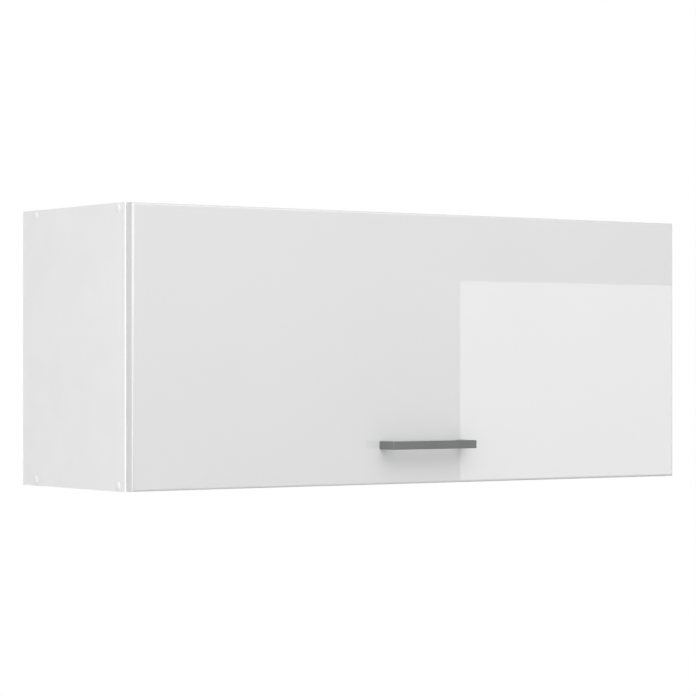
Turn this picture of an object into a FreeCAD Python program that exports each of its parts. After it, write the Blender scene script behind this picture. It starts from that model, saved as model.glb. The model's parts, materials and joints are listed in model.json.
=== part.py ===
import FreeCAD, Part
import math
import os

# Lift up wall cabinet. Millimetres. x = 0 is the middle of the width, y = 0 the wall and z = 0 the
# underside. The front faces -Y, and left and right are those of a person who stands before it.

# ---- Driving dimensions ----

# Carcass
cabinet_width = 1000.0
cabinet_height = 405.0
carcass_depth = 300.0          # wall to the front edges of the boards
board = 16.0                   # thickness of the melamine boards
edge_band = 2.0
edge_band_round = 1.8
back_board = 3.0
back_recess = 17.0             # wall to the back board, room for the hanging hooks
groove_depth = 8.0
groove_play = 0.25
back_play = 0.5                # back board to the floor of its groove
notch_margin = 6.0             # hanger to the cut-out corner of the back board
notch_round = 5.0

# Flap
flap_board = 16.0
flap_gap = 2.0                 # carcass to the shut flap
flap_reveal = 1.0              # how far the flap stays inside the carcass's outline
flap_edge_round = 3.5

# Handle
handle_length = 154.0
handle_section = 12.0
handle_reach = 35.0            # flap to the front of the bar
handle_height = 58.0           # flap's lower edge to the middle of the bar
handle_edge = 0.8

# Carcass joints
screw_front_setback = 21.0     # carcass screws, from the front and rear edges
screw_rear_setback = 40.0
carcass_screw_length = 50.0
carcass_head_radius = 5.0
carcass_head_depth = 3.5
carcass_shank_radius = 3.1
socket_radius = 2.3            # middle to the corners of the hexagon
socket_depth = 3.2
cap_radius = 6.2
cap_rim = 0.4
cap_height = 1.3
cap_flat_radius = 4.2
plug_radius = 1.7
plug_length = 3.0
dowel_radius = 4.0
dowel_length = 30.0
dowel_in_side = 10.0           # how far a dowel goes into the side panel
dowel_spots = [-205.0, -115.0]

# Small wood screws
wood_screw_radius = 1.7
wood_head_radius = 3.4
wood_head_height = 2.0
wood_grip = 12.5               # how far they go into a board

# Machine screws: radius, length, head radius, head height
adjuster_bolt = (2.2, 26.0, 3.6, 2.2)
arm_bolt = (2.0, 9.0, 3.8, 1.8)
lever_bolt = (2.0, 12.0, 5.0, 2.6)
handle_bolt = (2.0, flap_board + 9.0, 4.2, 2.2)

# Cup hinges
hinge_inset = 120.0            # end of the cabinet to the middle of a hinge
cup_radius = 17.5
cup_depth = 12.5
cup_wall = 0.8
cup_edge_distance = 3.0        # cup's rim to the flap's top edge
cup_flange = 0.8
cup_rim = 1.0                  # how far the flange reaches past the cup
cup_screw_spacing = 48.0
cup_screw_drop = 6.0
cup_ear = 5.0                  # screw to the end of the flange
cup_flange_height = 13.0
cheek_sheet = 1.5
cheek_margin = 3.3             # hinge pin to the edges of the cheeks
window_rise = 5.0              # middle of the cup to the opening that the neck leaves by
pin_depth = 9.5                # flap's inner face to the hinge pin
pin_drop = 5.8                 # flap's top edge to the hinge pin
pin_radius = 1.0
eye_radius = 1.9
neck_width = 10.0
neck_thickness = 2.4
neck_length = 13.0             # pin to the bend in the neck
neck_bend = 2.0
arm_drop = 9.8                 # underside of the top board to the middle of the arm's sheet
arm_setback = 6.0              # front edge to the arm's full width
arm_width = 17.0
arm_length = 50.0
arm_screw_insets = [11.0, 37.0]
arm_slot = 8.0
arm_front_round = 2.0
arm_rear_round = 3.0
channel_wall = 1.4
channel_front_inset = 2.0      # arm's ends to the folded walls of its channel
channel_rear_inset = 4.0
channel_slope = 4.0
channel_round = 4.0
plate_sheet = 2.0
plate_setback = 37.0           # front edge to the plate's screws
plate_length = 40.0
ridge_setback = 9.0
ridge_round = 1.5
plate_wing = 48.0
plate_wing_depth = 12.0
plate_wing_round = 5.5
plate_screw_spacing = 32.0

# Lift stays: a lever on the case and a link to the flap, an exact parallelogram with the hinge pin
shaft_back = 70.0              # hinge pin to the stay's shaft
shaft_drop = 45.0
bracket_back = 25.0            # hinge pin to the pin of the bracket on the flap
bracket_drop = 115.0
case_depth = 18.0
case_front_radius = 22.0
case_rear_radius = 16.0
case_length = 112.0            # shaft to the middle of the case's rear end
case_wall = 1.6
case_edge_round = 3.0
stay_plate = 1.5
stay_screw_rise = 14.0         # shaft to the two front screws
stay_screw_rear = 7.0          # past the middle of the case's rear end
stay_shaft_radius = 5.0
bush_radius = 8.0
cam_radius = 13.0
cam_thickness = 6.0
drive_half = 3.4               # half the side of the shaft's square end
cartridge_room = 0.85          # cartridge to the case's walls, before and behind
cartridge_nose_radius = 4.0
cartridge_nose_chamfer = 1.0
adjuster_radius = 2.5
adjuster_stub = 3.0            # adjuster's end past the rear tab
tab_sheet = 2.0
tab_half = 10.0
tab_front_gap = 16.0           # cam to the front tab
tab_rear_inset = 4.0
lever_thickness = 3.0
lever_root_radius = 10.0
lever_tip_radius = 8.0
lever_opening_share = 0.24     # of the lever's length, left solid at each end
lever_opening_radii = (4.0, 3.0)
link_radius = 7.0
link_pin_radius = 3.0
rivet_head_radius = 5.0
rivet_head_height = 1.2
rivet_tail_radius = 4.2
rivet_tail_height = 0.8
bracket_sheet = 2.0
bracket_half = 21.0
bracket_foot = 23.0
bracket_ear = 8.0              # pin to the edges of the ear
bracket_ear_root = 5.0         # flap to the upright edges of the ear
bracket_round = 4.0
bracket_ear_round = 7.0
bracket_screw_rise = 13.0

# Hangers and wall plates
hanger_width = 20.0
hanger_depth = 40.0
hanger_height = 60.0
hanger_drop = 6.0              # underside of the top board to the housing
hanger_back_gap = 2.0
hanger_edge_round = 3.0
hanger_screw_inset = 8.0
hanger_floor = 3.0             # housing left under a fixing's head
adjuster_inset = 9.0
hanger_cover_wall = 1.2
hanger_cover_room = 4.0        # before the adjusters' heads
hanger_cover_round = 2.5
hook_thickness = 2.5
hook_height = 14.0
hook_tooth = 10.0
hook_tooth_sheet = 2.6
hook_tooth_round = 1.0
hook_back_round = 2.0
hook_tail_inset = 12.0
wall_sheet = 2.0
wall_bend = 1.0
wall_lip_gap = 4.0             # wall to the lip that the hook drops behind
wall_plate_width = 60.0
wall_plate_height = 58.0
wall_step_drops = (16.0, 24.0)  # lip's edge to the two ends of the step
wall_hole_drop = 41.0
wall_hole_spacing = 32.0
wall_hole_radius = 3.5
wall_plate_inset = 50.0        # end of the cabinet to the middle of the plate

# Pads
pad_radius = 4.0
pad_flat_radius = 2.6
pad_rim = 0.9
pad_height = 24.0

# Clearances
running = 0.08                 # a shaft that turns in its hole
loose = 0.1                    # a screw, dowel or plug in its hole
slack = 0.3                    # pieces that must not rub
side_gap = 0.5                 # case, lever, link and bracket, side by side
link_play = 0.3                # the pivot that closes the parallelogram
past = 1.0                     # how far a cut runs past the face that it opens
touch = 0.01                   # nearer than this is in the same plane

# ---- Sizes that follow ----

half_width = cabinet_width / 2
inner_half = half_width - board
inner_top = cabinet_height - board
board_middle = board / 2
carcass_front = -carcass_depth
panel_front = carcass_front + edge_band
back_rear = -back_recess
back_front = back_rear - back_board

flap_back = carcass_front - flap_gap
flap_front = flap_back - flap_board
flap_half = half_width - flap_reveal
flap_bottom = flap_reveal
flap_top = cabinet_height - flap_reveal

pin_y = flap_back - pin_depth
pin_z = flap_top - pin_drop
cup_z = flap_top - cup_edge_distance - cup_radius
hinge_x = half_width - hinge_inset
arm_z = inner_top - arm_drop

stay_y = pin_y + shaft_back
stay_z = pin_z - shaft_drop
flap_pin_y = pin_y + bracket_back
flap_pin_z = pin_z - bracket_drop
elbow_y = stay_y + bracket_back
elbow_z = stay_z - bracket_drop
case_face = inner_half - case_depth
lever_outer = case_face - side_gap
lever_inner = lever_outer - lever_thickness
link_outer = lever_inner - side_gap
link_inner = link_outer - lever_thickness

handle_z = flap_bottom + handle_height
bolt_x = (handle_length - handle_section) / 2

V = FreeCAD.Vector


# ---- Shapes ----

def box(x_from, x_to, y_from, y_to, z_from, z_to):
    return Part.makeBox(x_to - x_from, y_to - y_from, z_to - z_from, V(x_from, y_from, z_from))


def rod(spot, direction, radius, length):
    return Part.makeCylinder(radius, length, V(*spot), V(*direction))


def prism(corners, axis, start, end):
    """Push an outline of (a, b, corner radius) along an axis. a and b are the two other axes."""
    place = {"x": lambda a, b: V(start, a, b),
             "y": lambda a, b: V(a, start, b),
             "z": lambda a, b: V(a, b, start)}[axis]
    push = {"x": V(1, 0, 0), "y": V(0, 1, 0), "z": V(0, 0, 1)}[axis] * (end - start)
    ends = []
    for index, (a, b, radius) in enumerate(corners):
        corner = place(a, b)
        before = (place(*corners[index - 1][:2]) - corner).normalize()
        after = (place(*corners[(index + 1) % len(corners)][:2]) - corner).normalize()
        if radius == 0:
            ends.append((corner, None, corner))
            continue
        half_angle = before.getAngle(after) / 2
        cut_back = radius / math.tan(half_angle)
        middle = (before + after).normalize() * (radius / math.sin(half_angle) - radius)
        ends.append((corner + before * cut_back, corner + middle, corner + after * cut_back))
    edges = []
    for index, (start_point, middle_point, end_point) in enumerate(ends):
        if middle_point is not None:
            edges.append(Part.Arc(start_point, middle_point, end_point).toShape())
        next_start = ends[(index + 1) % len(ends)][0]
        if end_point.distanceToPoint(next_start) > 1e-6:
            edges.append(Part.LineSegment(end_point, next_start).toShape())
    return Part.Face(Part.Wire(edges)).extrude(push)


def tapered(y_1, z_1, radius_1, y_2, z_2, radius_2, x_from, x_to):
    """A flat arm in a plane across x: two round ends joined by tangent lines."""
    reach = math.hypot(y_2 - y_1, z_2 - z_1)
    along = math.atan2(z_2 - z_1, y_2 - y_1)
    lean = math.acos((radius_1 - radius_2) / reach)

    def on_round(y, z, radius, angle):
        return V(x_from, y + radius * math.cos(angle), z + radius * math.sin(angle))

    near_top = on_round(y_1, z_1, radius_1, along + lean)
    near_low = on_round(y_1, z_1, radius_1, along - lean)
    far_top = on_round(y_2, z_2, radius_2, along + lean)
    far_low = on_round(y_2, z_2, radius_2, along - lean)
    near_end = on_round(y_1, z_1, radius_1, along + math.pi)
    far_end = on_round(y_2, z_2, radius_2, along)
    edges = [Part.Arc(near_top, near_end, near_low).toShape(),
             Part.LineSegment(near_low, far_low).toShape(),
             Part.Arc(far_low, far_end, far_top).toShape(),
             Part.LineSegment(far_top, near_top).toShape()]
    return Part.Face(Part.Wire(edges)).extrude(V(x_to - x_from, 0, 0))


def turned(outline, spot, direction):
    """Spin (radius, distance) corners about the line that runs from a spot in a direction."""
    corners = [V(radius, 0, distance) for radius, distance in outline]
    face = Part.Face(Part.makePolygon(corners + corners[:1]))
    piece = face.revolve(V(0, 0, 0), V(0, 0, 1), 360)
    piece.Placement = FreeCAD.Placement(V(*spot), FreeCAD.Rotation(V(0, 0, 1), V(*direction)))
    return piece


def strip(points, thickness, bend, x_from, x_to):
    """A bent strip of sheet: the line through its middle is (y, z) points, bend its inner radius."""
    sides = [[], []]
    for index, (y, z) in enumerate(points):
        before = V(0, y - points[max(index - 1, 0)][0], z - points[max(index - 1, 0)][1])
        last = min(index + 1, len(points) - 1)
        after = V(0, points[last][0] - y, points[last][1] - z)
        before = after if before.Length == 0 else before
        after = before if after.Length == 0 else after
        before = before.normalize()
        after = after.normalize()
        across = V(0, -before.z - after.z, before.y + after.y).normalize()
        reach = thickness / 2 / math.cos(before.getAngle(after) / 2)
        left_turn = before.y * after.z - before.z * after.y
        for side, sign in ((0, 1), (1, -1)):
            radius = 0
            if abs(left_turn) > 1e-9:
                radius = bend if left_turn * sign > 0 else bend + thickness
            spot = V(0, y, z) + across * (reach * sign)
            sides[side].append((spot.y, spot.z, radius))
    return prism(sides[0] + sides[1][::-1], "x", x_from, x_to)


def wood_screw(spot, direction, length, grow=0.0):
    """A pan-head screw, its head on the spot. grow makes the hole that it fits instead."""
    if grow:
        return rod(spot, direction, wood_screw_radius + grow, length + grow)
    outline = [(0, -wood_head_height), (wood_head_radius, -wood_head_height), (wood_head_radius, 0),
               (wood_screw_radius, 0), (wood_screw_radius, length), (0, length)]
    return turned(outline, spot, direction)


def machine_screw(spot, direction, bolt, grow=0.0):
    """A flat-headed machine screw, its head on the spot. grow makes the hole that it fits."""
    radius, length, head_radius, head_height = bolt
    if grow:
        return rod(spot, direction, radius + grow, length + grow)
    outline = [(0, -head_height), (head_radius, -head_height), (head_radius, 0),
               (radius, 0), (radius, length), (0, length)]
    return turned(outline, spot, direction)


def mirrored(shape):
    return shape.mirror(V(0, 0, 0), V(1, 0, 0))


def both(pieces):
    """The right side's pieces and their mirror images."""
    return list(pieces) + [mirrored(piece) for piece in pieces]


def save(name, pieces):
    shape = pieces
    if isinstance(pieces, list):
        shape = Part.makeCompound(pieces) if len(pieces) > 1 else pieces[0]
    if not shape.isValid():
        raise ValueError(name + " is not a valid shape")
    shape.exportStep("parts/" + name + ".step")


def save_pair(name, shape):
    save(name + "_right", shape)
    save(name + "_left", mirrored(shape))


# ---- Where the fixings go ----

carcass_screw_spots = [(y, z)
                       for y in (carcass_front + screw_front_setback, -screw_rear_setback)
                       for z in (board_middle, cabinet_height - board_middle)]
dowel_places = [(y, z) for y in dowel_spots for z in (board_middle, cabinet_height - board_middle)]
cup_screw_spots = [(hinge_x + side * cup_screw_spacing / 2, cup_z - cup_screw_drop)
                   for side in (-1, 1)]
plate_screw_spots = [hinge_x + side * plate_screw_spacing / 2 for side in (-1, 1)]
stay_screw_spots = [(stay_y, stay_z + stay_screw_rise), (stay_y, stay_z - stay_screw_rise),
                    (stay_y + case_length + stay_screw_rear, stay_z)]
hanger_top = inner_top - hanger_drop
hanger_bottom = hanger_top - hanger_height
hanger_rear = back_front - hanger_back_gap
hanger_front = hanger_rear - hanger_depth
hanger_screw_spots = [(hanger_front + hanger_screw_inset, hanger_bottom + hanger_screw_inset),
                      (hanger_rear - hanger_screw_inset, hanger_top - hanger_screw_inset)]


# ---- Carcass ----

def carcass_screw(y, z, grow=0.0):
    """A flush screw with a hexagon socket, in the right side, pointing inwards."""
    shank = carcass_shank_radius + grow
    length = carcass_screw_length + grow
    outline = [(0, 0), (carcass_head_radius + grow, 0), (shank, carcass_head_depth),
               (shank, length), (0, length)]
    screw = turned(outline, (half_width, y, z), (-1, 0, 0))
    if grow:
        return screw
    socket = [(y + socket_radius * math.cos(math.radians(angle)),
               z + socket_radius * math.sin(math.radians(angle)), 0) for angle in range(0, 360, 60)]
    return screw.cut(prism(socket, "x", half_width - socket_depth, half_width + past))


def screw_cap(y, z):
    """A domed cover cap: its plug sits in the screw's socket."""
    outline = [(0, plug_length), (plug_radius, plug_length), (plug_radius, 0), (cap_radius, 0),
               (cap_radius, -cap_rim), (cap_flat_radius, -cap_height), (0, -cap_height)]
    return turned(outline, (half_width, y, z), (-1, 0, 0))


def dowel(y, z, grow=0.0):
    middle = inner_half + dowel_in_side - dowel_length / 2
    half = dowel_length / 2 + grow
    return rod((middle - half, y, z), (1, 0, 0), dowel_radius + grow, 2 * half)


def back_groove(x_from, x_to, z_from, z_to):
    return box(x_from, x_to, back_front - groove_play, back_rear + groove_play, z_from, z_to)


def side_panel():
    panel = box(inner_half, half_width, panel_front, 0, 0, cabinet_height)
    cuts = [back_groove(inner_half, inner_half + groove_depth, 0, cabinet_height)]
    cuts += [carcass_screw(y, z, loose) for y, z in carcass_screw_spots]
    cuts += [dowel(y, z, loose) for y, z in dowel_places]
    cuts += [stay_screw(y, z, loose) for y, z in stay_screw_spots]
    cuts += [hanger_fixing(y, z, loose) for y, z in hanger_screw_spots]
    return panel.cut(cuts)


def level_panel(z_from, groove_from, screws):
    """The top or bottom board, between the sides."""
    panel = box(-inner_half, inner_half, panel_front, 0, z_from, z_from + board)
    cuts = [back_groove(-inner_half, inner_half, groove_from, groove_from + groove_depth)]
    cuts += both([carcass_screw(y, z, loose) for y, z in carcass_screw_spots])
    cuts += both([dowel(y, z, loose) for y, z in dowel_places])
    return panel.cut(cuts + screws)


def back_panel():
    """The hardboard back, its upper corners cut out where the hanging hooks pass."""
    half = inner_half + groove_depth - back_play
    low = board - groove_depth + back_play
    high = inner_top + groove_depth - back_play
    notch_x = inner_half - hanger_width - notch_margin
    notch_z = hanger_bottom - notch_margin
    outline = [(-half, low, 0), (half, low, 0), (half, notch_z, 0), (notch_x, notch_z, notch_round),
               (notch_x, high, 0), (-notch_x, high, 0), (-notch_x, notch_z, notch_round),
               (-half, notch_z, 0)]
    return prism(outline, "y", back_front, back_rear)


def edge_band_strip(x_from, x_to, z_from, z_to):
    """A band on a front edge, its two long front corners rounded."""
    strip_box = box(x_from, x_to, carcass_front, panel_front, z_from, z_to)
    length = max(x_to - x_from, z_to - z_from)
    corners = [edge for edge in strip_box.Edges
               if edge.Length > length - touch
               and all(abs(vertex.Y - carcass_front) < touch for vertex in edge.Vertexes)]
    return strip_box.makeFillet(edge_band_round, corners)


def edge_bands():
    level = [edge_band_strip(-inner_half, inner_half, z, z + board) for z in (0, inner_top)]
    return level + both([edge_band_strip(inner_half, half_width, 0, cabinet_height)])


# ---- Hangers and wall plates ----

hook_x = inner_half - hanger_width / 2
hook_z = (hanger_top + hanger_bottom) / 2 - hook_height / 2     # underside of the hook's shank
lip_top = hook_z
hook_tail = hanger_front + hook_tail_inset


def hook_outline(grow=0.0):
    """The hanging hook seen from the side: a shank with a tooth that drops behind the lip."""
    tooth_front = slack - wall_lip_gap
    tooth_rear = tooth_front + hook_tooth_sheet
    top = hook_z + hook_height
    return [(hook_tail - grow, hook_z - grow, 0), (tooth_front, hook_z - grow, 0),
            (tooth_front, hook_z - hook_tooth, hook_tooth_round),
            (tooth_rear, hook_z - hook_tooth, hook_tooth_round),
            (tooth_rear, top + grow, hook_back_round), (hook_tail - grow, top + grow, 0)]


def hanger_hook(grow=0.0):
    half = hook_thickness / 2 + grow
    return prism(hook_outline(grow), "x", hook_x - half, hook_x + half)


def hanger_fixing(y, z, grow=0.0):
    return wood_screw((inner_half - hanger_floor, y, z), (1, 0, 0), wood_grip + hanger_floor, grow)


def hanger_adjuster(z, grow=0.0):
    """The two screws that are turned from the front to level the cabinet and pull it in."""
    return machine_screw((hook_x, hanger_front, z), (0, 1, 0), adjuster_bolt, grow)


adjuster_heights = [hanger_bottom + adjuster_inset, hanger_top - adjuster_inset]


def hanger_housing():
    body = box(inner_half - hanger_width, inner_half, hanger_front, hanger_rear,
               hanger_bottom, hanger_top)
    upright = [edge for edge in body.Edges
               if abs(edge.Vertexes[0].X - edge.Vertexes[1].X) > hanger_width / 2]
    body = body.makeFillet(hanger_edge_round, upright)
    cuts = [hanger_hook(slack)]
    cuts += [hanger_adjuster(z, loose) for z in adjuster_heights]
    for y, z in hanger_screw_spots:
        cuts.append(hanger_fixing(y, z, loose))
        cuts.append(rod((inner_half - hanger_width, y, z), (1, 0, 0), wood_head_radius + slack,
                        hanger_width - hanger_floor))
    return body.cut(cuts)


def hanger_cover():
    """A moulded cap over the housing, open at the back and towards the side."""
    reach = slack + hanger_cover_wall
    cover_front = hanger_front - hanger_cover_room
    outer = box(inner_half - hanger_width - reach, inner_half, cover_front, hanger_rear,
                hanger_bottom - reach, hanger_top + reach)
    front_edges = [edge for edge in outer.Edges
                   if all(abs(vertex.Y - cover_front) < touch for vertex in edge.Vertexes)
                   and any(vertex.X < inner_half - touch for vertex in edge.Vertexes)]
    outer = outer.makeFillet(hanger_cover_round, front_edges)
    inner = box(inner_half - hanger_width - slack, inner_half + past, cover_front + hanger_cover_wall,
                hanger_rear + past, hanger_bottom - slack, hanger_top + slack)
    return outer.cut(inner)


def wall_plate():
    """The plate screwed to the wall: flat below, stepped forward above into the hanging lip."""
    middle_x = half_width - wall_plate_inset
    left = middle_x - wall_plate_width / 2
    flat = -wall_sheet / 2
    lip = -wall_lip_gap - wall_sheet / 2
    step_top, step_low = wall_step_drops
    points = [(flat, lip_top - wall_plate_height), (flat, lip_top - step_low),
              (lip, lip_top - step_top), (lip, lip_top)]
    plate = strip(points, wall_sheet, wall_bend, left, left + wall_plate_width)
    holes = [rod((middle_x + side * wall_hole_spacing / 2, past, lip_top - wall_hole_drop), (0, -1, 0),
                 wall_hole_radius, wall_sheet + 2 * past) for side in (-1, 1)]
    return plate.cut(holes)


# ---- Cup hinges ----

def plate_screw(x, grow=0.0):
    return wood_screw((x, carcass_front + plate_setback, inner_top - plate_sheet), (0, 0, 1),
                      wood_grip, grow)


arm_top = arm_z + neck_thickness / 2
arm_low = arm_z - neck_thickness / 2
arm_front = carcass_front + arm_setback
arm_screw_spots = [arm_front + inset for inset in arm_screw_insets]


def arm_screw(y, grow=0.0):
    return machine_screw((hinge_x, y, arm_low), (0, 0, 1), arm_bolt, grow)


def plan_outline(x_half, y_from, y_to, radius):
    """A rounded rectangle about the middle of the hinge, seen from above."""
    return [(hinge_x - x_half, y_from, radius), (hinge_x + x_half, y_from, radius),
            (hinge_x + x_half, y_to, radius), (hinge_x - x_half, y_to, radius)]


def hinge_plate():
    """The mounting plate under the top board: wings for its screws and a ridge for the arm."""
    wing_y = carcass_front + plate_setback
    wing_half = plate_wing_depth / 2
    wings = prism(plan_outline(plate_wing / 2, wing_y - wing_half, wing_y + wing_half,
                               plate_wing_round), "z", inner_top - plate_sheet, inner_top)
    half_ridge = arm_width / 2 - channel_wall - slack
    ridge_front = carcass_front + ridge_setback
    ridge = prism(plan_outline(half_ridge, ridge_front, ridge_front + plate_length, ridge_round),
                  "z", arm_top, inner_top)
    plate = wings.fuse(ridge).removeSplitter()
    cuts = [plate_screw(x, loose) for x in plate_screw_spots]
    cuts += [arm_screw(y, loose) for y in arm_screw_spots]
    return plate.cut(cuts)


def hinge_arm():
    """The goose-necked arm: an eye on the hinge pin, a neck round the flap's edge, a channel."""
    half_neck = neck_width / 2
    bend_y = carcass_front
    neck = strip([(pin_y, pin_z), (pin_y, pin_z - neck_length), (bend_y, arm_z),
                  (arm_front + 2 * past, arm_z)],
                 neck_thickness, neck_bend, hinge_x - half_neck, hinge_x + half_neck)
    eye = rod((hinge_x - half_neck, pin_y, pin_z), (1, 0, 0), eye_radius, neck_width)
    half_arm = arm_width / 2
    rear = arm_front + arm_length
    web = prism([(hinge_x - half_neck, bend_y, 0), (hinge_x + half_neck, bend_y, 0),
                 (hinge_x + half_arm, arm_front, arm_front_round),
                 (hinge_x + half_arm, rear, arm_rear_round),
                 (hinge_x - half_arm, rear, arm_rear_round),
                 (hinge_x - half_arm, arm_front, arm_front_round)], "z", arm_low, arm_top)
    wall_front = arm_front + channel_front_inset
    wall_rear = rear - channel_rear_inset
    wall_top = inner_top - plate_sheet - past
    walls = []
    for side in (-1, 1):
        x_outer = hinge_x + side * half_arm
        x_inner = hinge_x + side * (half_arm - channel_wall)
        walls.append(prism([(wall_front, arm_z, 0), (wall_rear, arm_z, 0),
                            (wall_rear, wall_top, arm_rear_round),
                            (wall_front + channel_slope, wall_top, channel_round)],
                           "x", min(x_outer, x_inner), max(x_outer, x_inner)))
    arm = neck.fuse([eye, web] + walls).removeSplitter()
    cuts = [rod((hinge_x - neck_width, pin_y, pin_z), (1, 0, 0), pin_radius + running, 2 * neck_width)]
    slot_half = arm_bolt[0] + 2 * loose
    for y in arm_screw_spots:
        cuts.append(prism(plan_outline(slot_half, y - arm_slot / 2, y + arm_slot / 2, slot_half - loose),
                          "z", arm_low - past, arm_top + past))
    return arm.cut(cuts)


cheek_inner = neck_width / 2 + slack
cheek_outer = cheek_inner + cheek_sheet


def hinge_pin(grow=0.0):
    half = cheek_outer + grow
    return rod((hinge_x - half, pin_y, pin_z), (1, 0, 0), pin_radius + grow, 2 * half)


def hinge_cup():
    """The pressed cup in the flap: a shell with a flange, and two cheeks that hold the pin."""
    floor_y = flap_back - cup_depth
    face_y = flap_back + cup_flange
    shell = rod((hinge_x, floor_y, cup_z), (0, 1, 0), cup_radius, cup_depth)
    rim = rod((hinge_x, flap_back, cup_z), (0, 1, 0), cup_radius + cup_rim, cup_flange)
    ear = cup_screw_spacing / 2 + cup_ear
    ear_z = cup_z - cup_screw_drop
    half = cup_flange_height / 2
    flange = prism([(hinge_x - ear, ear_z - half, cup_ear), (hinge_x + ear, ear_z - half, cup_ear),
                    (hinge_x + ear, ear_z + half, cup_ear), (hinge_x - ear, ear_z + half, cup_ear)],
                   "y", flap_back, face_y)
    hollow = rod((hinge_x, floor_y + cup_wall, cup_z), (0, 1, 0), cup_radius - cup_wall, 2 * cup_depth)
    cup = shell.fuse([rim, flange]).cut(hollow)
    inside = rod((hinge_x, floor_y, cup_z), (0, 1, 0), cup_radius - cup_wall / 2, cup_depth)
    cheeks = []
    for side in (-1, 1):
        x_pair = sorted((hinge_x + side * cheek_inner, hinge_x + side * cheek_outer))
        cheek = box(x_pair[0], x_pair[1], floor_y + cup_wall / 2, pin_y + cheek_margin,
                    pin_z - cheek_margin, cup_z + cup_radius)
        cheeks.append(cheek.common(inside))
    cup = cup.fuse(cheeks).removeSplitter()
    window = box(hinge_x - cheek_inner, hinge_x + cheek_inner, floor_y + cup_wall, face_y + past,
                 cup_z + window_rise, cup_z + cup_radius)
    cuts = [window, hinge_pin(loose / 2)]
    cuts += [cup_screw(x, z, loose) for x, z in cup_screw_spots]
    return cup.cut(cuts)


def cup_screw(x, z, grow=0.0):
    return wood_screw((x, flap_back + cup_flange, z), (0, -1, 0), wood_grip, grow)


# ---- Lift stays ----

plate_face = inner_half - stay_plate
cartridge_x = (case_face + case_wall + plate_face) / 2
cartridge_radius = plate_face - cartridge_x - cartridge_room
cam_x = cartridge_x - cam_thickness / 2
bush_x = cam_x + cam_thickness + slack
tab_front = stay_y + cam_radius + tab_front_gap
tab_rear = stay_y + case_length - tab_rear_inset


def stay_screw(y, z, grow=0.0):
    return wood_screw((plate_face, y, z), (1, 0, 0), wood_grip, grow)


def case_outline(inset, x_from, x_to):
    """The stay's rounded case, or what lies a given distance inside it."""
    return tapered(stay_y, stay_z, case_front_radius - inset, stay_y + case_length, stay_z,
                   case_rear_radius - inset, x_from, x_to)


def stay_base():
    """The steel plate on the side board, with a bush for the shaft and two folded tabs."""
    plate = case_outline(case_wall + slack, plate_face, inner_half)
    bush = rod((bush_x, stay_y, stay_z), (1, 0, 0), bush_radius, inner_half - bush_x)
    tabs = [box(case_face + case_wall + slack, inner_half - past, y, y + tab_sheet,
                stay_z - tab_half, stay_z + tab_half) for y in (tab_front, tab_rear)]
    base = plate.fuse([bush] + tabs).removeSplitter()
    cuts = [rod((plate_face + loose, stay_y, stay_z), (-1, 0, 0), stay_shaft_radius + running, case_depth),
            rod((cartridge_x, tab_front - past, stay_z), (0, 1, 0), cartridge_radius + loose,
                tab_sheet + 2 * past),
            rod((cartridge_x, tab_rear - past, stay_z), (0, 1, 0), adjuster_radius + loose,
                tab_sheet + 2 * past)]
    cuts += [stay_screw(y, z, loose) for y, z in stay_screw_spots]
    return base.cut(cuts)


def stay_cover():
    """The moulded cover: a shell that stands on the side board and closes the stay's works."""
    outer = case_outline(0, case_face, inner_half)
    face_edges = [edge for edge in outer.Edges
                  if all(abs(vertex.X - case_face) < touch for vertex in edge.Vertexes)]
    outer = outer.makeFillet(case_edge_round, face_edges)
    inner = case_outline(case_wall, case_face + case_wall, inner_half + past)
    hole = rod((case_face - past, stay_y, stay_z), (1, 0, 0), stay_shaft_radius + side_gap,
               case_wall + 2 * past)
    return outer.cut([inner, hole])


def stay_cartridge():
    """The closed spring cartridge: a nose on the cam, a tube, and an adjuster through the tab."""
    nose = stay_y + cam_radius + slack
    shoulder = tab_front - nose - tab_sheet
    length = tab_rear - nose
    tip = length + tab_sheet + adjuster_stub
    outline = [(0, 0), (cartridge_nose_radius - cartridge_nose_chamfer, 0),
               (cartridge_nose_radius, cartridge_nose_chamfer),
               (cartridge_nose_radius, shoulder), (cartridge_radius, shoulder),
               (cartridge_radius, length), (adjuster_radius, length), (adjuster_radius, tip), (0, tip)]
    return turned(outline, (cartridge_x, nose, stay_z), (0, 1, 0))


def drive_square(grow=0.0):
    """The square end of the shaft that turns the lever."""
    half = drive_half + grow
    return box(lever_inner, case_face, stay_y - half, stay_y + half, stay_z - half, stay_z + half)


def lever_screw(grow=0.0):
    return machine_screw((lever_inner, stay_y, stay_z), (1, 0, 0), lever_bolt, grow)


def stay_shaft():
    shaft_start = case_face - loose
    shaft = rod((shaft_start, stay_y, stay_z), (1, 0, 0), stay_shaft_radius,
                plate_face - slack - shaft_start)
    cam = rod((cam_x, stay_y, stay_z), (1, 0, 0), cam_radius, cam_thickness)
    shaft = shaft.fuse([cam, drive_square()]).removeSplitter()
    return shaft.cut(lever_screw(loose))


def stay_lever():
    """The lever: a tapered arm with a square hole for the shaft and a long opening."""
    arm = tapered(stay_y, stay_z, lever_root_radius, elbow_y, elbow_z, lever_tip_radius,
                  lever_inner, lever_outer)
    step_y = (elbow_y - stay_y) * lever_opening_share
    step_z = (elbow_z - stay_z) * lever_opening_share
    near_radius, far_radius = lever_opening_radii
    opening = tapered(stay_y + step_y, stay_z + step_z, near_radius,
                      elbow_y - step_y, elbow_z - step_z, far_radius,
                      lever_inner - past, lever_outer + past)
    return arm.cut([opening, drive_square(loose / 2), pivot_pin(elbow_y, elbow_z, loose / 2)])


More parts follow.
